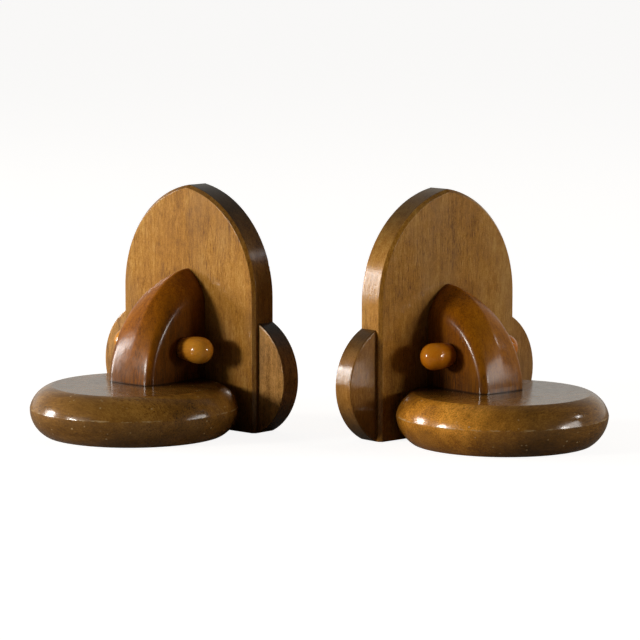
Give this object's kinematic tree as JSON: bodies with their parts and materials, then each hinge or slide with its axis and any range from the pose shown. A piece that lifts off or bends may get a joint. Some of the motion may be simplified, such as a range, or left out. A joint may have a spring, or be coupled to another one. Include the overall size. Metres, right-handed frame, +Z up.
{
  "type": "book end pair",
  "caption": "Pair of varnished wooden book ends, each an arched upright with rounded wings on a turned disc base, with a curved bracket and side knobs.",
  "frame": {"origin": "middle of the pair's bounding box, on the surface that it stands on", "axes": "+X from the left book end to the right one, -Y towards the turned bases, +Z up"},
  "size_m": [0.3536, 0.1966, 0.1508],
  "materials": {
    "upright_wood": "stained and varnished, glossy",
    "base_wood": "stained and varnished, glossy",
    "bracket_wood": "stained and varnished, glossy",
    "knob_wood": "clear varnished, glossy",
    "dowel_wood": "bare",
    "screw_steel": "plain"
  },
  "bodies": {
    "left_book_end": {"left_upright": "upright_wood", "left_inner_wing": "upright_wood", "left_outer_wing": "upright_wood", "left_base": "base_wood", "left_bracket": "bracket_wood", "left_inner_knob": "knob_wood", "left_outer_knob": "knob_wood", "left_wing_dowels": "dowel_wood", "left_base_screws": "screw_steel", "left_bracket_screw": "screw_steel", "left_foot_screw": "screw_steel"},
    "right_book_end": {"right_upright": "upright_wood", "right_inner_wing": "upright_wood", "right_outer_wing": "upright_wood", "right_base": "base_wood", "right_bracket": "bracket_wood", "right_inner_knob": "knob_wood", "right_outer_knob": "knob_wood", "right_wing_dowels": "dowel_wood", "right_base_screws": "screw_steel", "right_bracket_screw": "screw_steel", "right_foot_screw": "screw_steel"}
  },
  "joints": [
    {"name": "pair_spacing", "type": "slide", "parent": "left_book_end", "child": "right_book_end", "axis": [1, 0, 0], "range_m": [0, 0.3]}
  ]
}
